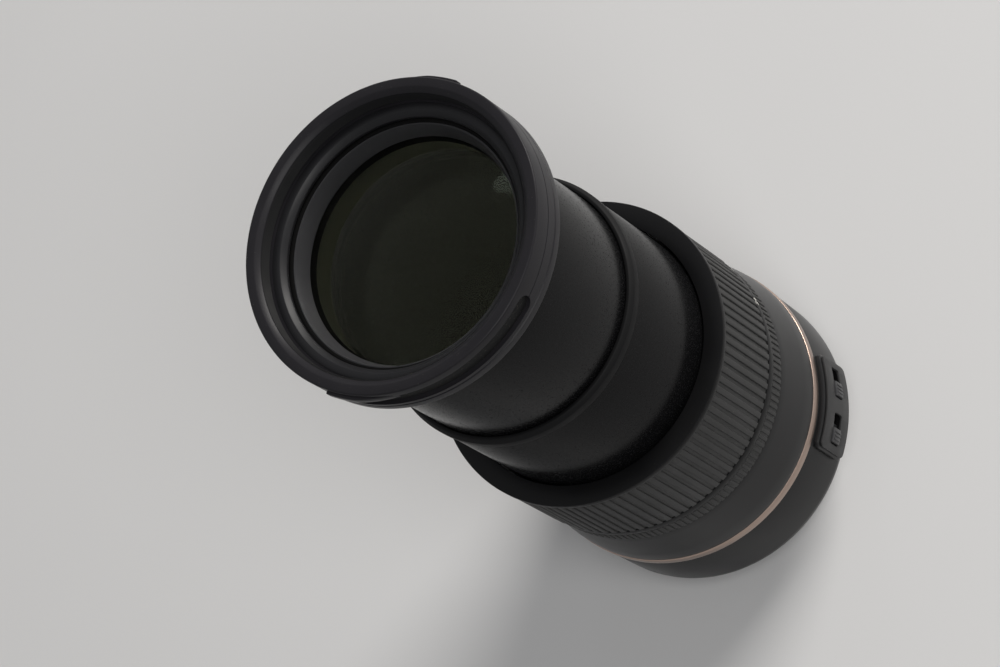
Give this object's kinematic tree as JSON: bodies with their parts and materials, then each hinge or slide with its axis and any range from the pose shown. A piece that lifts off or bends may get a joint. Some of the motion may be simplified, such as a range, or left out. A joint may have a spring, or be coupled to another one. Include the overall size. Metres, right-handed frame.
{
  "type": "camera zoom lens",
  "caption": "Extending zoom lens with two telescoping tubes, ribbed zoom ring, narrow focus ring, switch panel, filter thread, hood bayonet and camera bayonet mount.",
  "frame": {"origin": "centre of the camera mount's flange face, on the optical axis", "axes": "+Z along the optical axis towards the front of the lens, -Y the top of the lens with its index marks, -X the side with the switch panel"},
  "size_m": [0.0932, 0.0902, 0.207],
  "materials": {
    "satin_black": "satin black paint on moulded plastic",
    "matte_black": "flat black anti-reflection finish",
    "grey_plastic": "moulded filled plastic",
    "panel_plastic": "fine-grained black plastic",
    "switch_plastic": "ridged black plastic",
    "follower_plastic": "natural acetal",
    "rubber": "ribbed matt rubber",
    "felt": "black flock",
    "champagne_metal": "anodised, pale champagne",
    "cam_aluminium": "bead-blasted, grey anodised",
    "mount_metal": "chromed brass, turned",
    "screw_steel": "plated steel",
    "gold_contact": "gold-plated",
    "red_plastic": "glossy red",
    "board_green": "solder-masked board",
    "blade_steel": "black dry-film coating",
    "glass": "multi-coated optical glass"
  },
  "bodies": {
    "barrel": {"main_barrel": "grey_plastic", "scale_barrel": "satin_black", "trim_ring": "champagne_metal", "rear_barrel": "satin_black", "switch_panel": "panel_plastic", "mount_plate": "mount_metal", "mount_screws": "screw_steel", "index_bead": "red_plastic", "contact_block": "matte_black", "contact_pins": "gold_contact", "rear_baffle": "matte_black", "rear_cell": "matte_black", "rear_element": "glass", "core_barrel": "matte_black", "circuit_board": "board_green", "guide_rods": "screw_steel", "focus_motor": "screw_steel", "iris_base": "matte_black", "iris_cover": "matte_black"},
    "zoom": {"zoom_ring": "satin_black", "zoom_grip": "rubber", "cam_barrel": "cam_aluminium", "zoom_key": "cam_aluminium"},
    "middle": {"middle_tube": "satin_black", "middle_lip": "satin_black", "middle_felt": "felt", "middle_followers": "follower_plastic", "variator_cell": "matte_black", "variator_element": "glass"},
    "inner_cam": {"inner_cam": "cam_aluminium"},
    "front": {"front_tube": "satin_black", "filter_ring": "satin_black", "beauty_ring": "matte_black", "front_cell": "matte_black", "front_retainer": "matte_black", "front_element": "glass", "second_element": "glass", "front_followers": "follower_plastic"},
    "focus": {"focus_ring": "satin_black", "focus_grip": "rubber"},
    "focus_group": {"focus_cell": "matte_black", "focus_element": "glass"},
    "iris_drive": {"iris_ring": "matte_black"},
    "mode_switch": {"focus_mode_switch": "switch_plastic"},
    "limit_switch": {"focus_limit_switch": "switch_plastic"},
    "blade_1": {"iris_blade_1": "blade_steel"},
    "blade_2": {"iris_blade_2": "blade_steel"},
    "blade_3": {"iris_blade_3": "blade_steel"},
    "blade_4": {"iris_blade_4": "blade_steel"},
    "blade_5": {"iris_blade_5": "blade_steel"},
    "blade_6": {"iris_blade_6": "blade_steel"},
    "blade_7": {"iris_blade_7": "blade_steel"}
  },
  "joints": [
    {"name": "zoom_turn", "type": "hinge", "parent": "barrel", "child": "zoom", "pos_m": [0, 0, 0.075], "axis": [0, 0, 1], "range_deg": [0, 62]},
    {"name": "middle_slide", "type": "slide", "parent": "barrel", "child": "middle", "axis": [0, 0, 1], "range_m": [-0.04101, 0]},
    {"name": "inner_cam_turn", "type": "hinge", "parent": "middle", "child": "inner_cam", "pos_m": [0, 0, 0.08], "axis": [0, 0, 1], "range_deg": [0, 62.01]},
    {"name": "front_slide", "type": "slide", "parent": "middle", "child": "front", "axis": [0, 0, 1], "range_m": [-0.04601, 0]},
    {"name": "focus_turn", "type": "hinge", "parent": "barrel", "child": "focus", "pos_m": [0, 0, 0.055], "axis": [0, 0, 1], "range_deg": [-45, 45]},
    {"name": "focus_slide", "type": "slide", "parent": "barrel", "child": "focus_group", "axis": [0, 0, 1], "range_m": [-0.00301, 0.00301]},
    {"name": "iris_turn", "type": "hinge", "parent": "barrel", "child": "iris_drive", "pos_m": [0, 0, 0.05], "axis": [0, 0, 1], "range_deg": [0, 5.7]},
    {"name": "blade_1_turn", "type": "hinge", "parent": "barrel", "child": "blade_1", "pos_m": [0.0193, 0, 0.048], "axis": [0, 0, 1], "range_deg": [0, 40.01]},
    {"name": "blade_2_turn", "type": "hinge", "parent": "barrel", "child": "blade_2", "pos_m": [0.01203, 0.01509, 0.048], "axis": [0, 0, 1], "range_deg": [0, 40.01]},
    {"name": "blade_3_turn", "type": "hinge", "parent": "barrel", "child": "blade_3", "pos_m": [-0.00429, 0.01882, 0.048], "axis": [0, 0, 1], "range_deg": [0, 40.01]},
    {"name": "blade_4_turn", "type": "hinge", "parent": "barrel", "child": "blade_4", "pos_m": [-0.01739, 0.00837, 0.048], "axis": [0, 0, 1], "range_deg": [0, 40.01]},
    {"name": "blade_5_turn", "type": "hinge", "parent": "barrel", "child": "blade_5", "pos_m": [-0.01739, -0.00837, 0.048], "axis": [0, 0, 1], "range_deg": [0, 40.01]},
    {"name": "blade_6_turn", "type": "hinge", "parent": "barrel", "child": "blade_6", "pos_m": [-0.00429, -0.01882, 0.048], "axis": [0, 0, 1], "range_deg": [0, 40.01]},
    {"name": "blade_7_turn", "type": "hinge", "parent": "barrel", "child": "blade_7", "pos_m": [0.01203, -0.01509, 0.048], "axis": [0, 0, 1], "range_deg": [0, 40.01]},
    {"name": "mode_switch_slide", "type": "slide", "parent": "barrel", "child": "mode_switch", "axis": [-0.1478, -0.989, 0], "range_m": [0, 0.004]},
    {"name": "limit_switch_slide", "type": "slide", "parent": "barrel", "child": "limit_switch", "axis": [0.1478, -0.989, 0], "range_m": [0, 0.004]}
  ],
  "couplings": [
    {"joint": "middle_slide", "follows": "zoom_turn", "m_per_rad": -0.037889},
    {"joint": "inner_cam_turn", "follows": "zoom_turn", "ratio": 1},
    {"joint": "front_slide", "follows": "zoom_turn", "m_per_rad": -0.04251},
    {"joint": "focus_slide", "follows": "focus_turn", "m_per_rad": 0.0038197},
    {"joint": "blade_1_turn", "follows": "iris_turn", "ratio": 7.02},
    {"joint": "blade_2_turn", "follows": "iris_turn", "ratio": 7.02},
    {"joint": "blade_3_turn", "follows": "iris_turn", "ratio": 7.02},
    {"joint": "blade_4_turn", "follows": "iris_turn", "ratio": 7.02},
    {"joint": "blade_5_turn", "follows": "iris_turn", "ratio": 7.02},
    {"joint": "blade_6_turn", "follows": "iris_turn", "ratio": 7.02},
    {"joint": "blade_7_turn", "follows": "iris_turn", "ratio": 7.02}
  ]
}
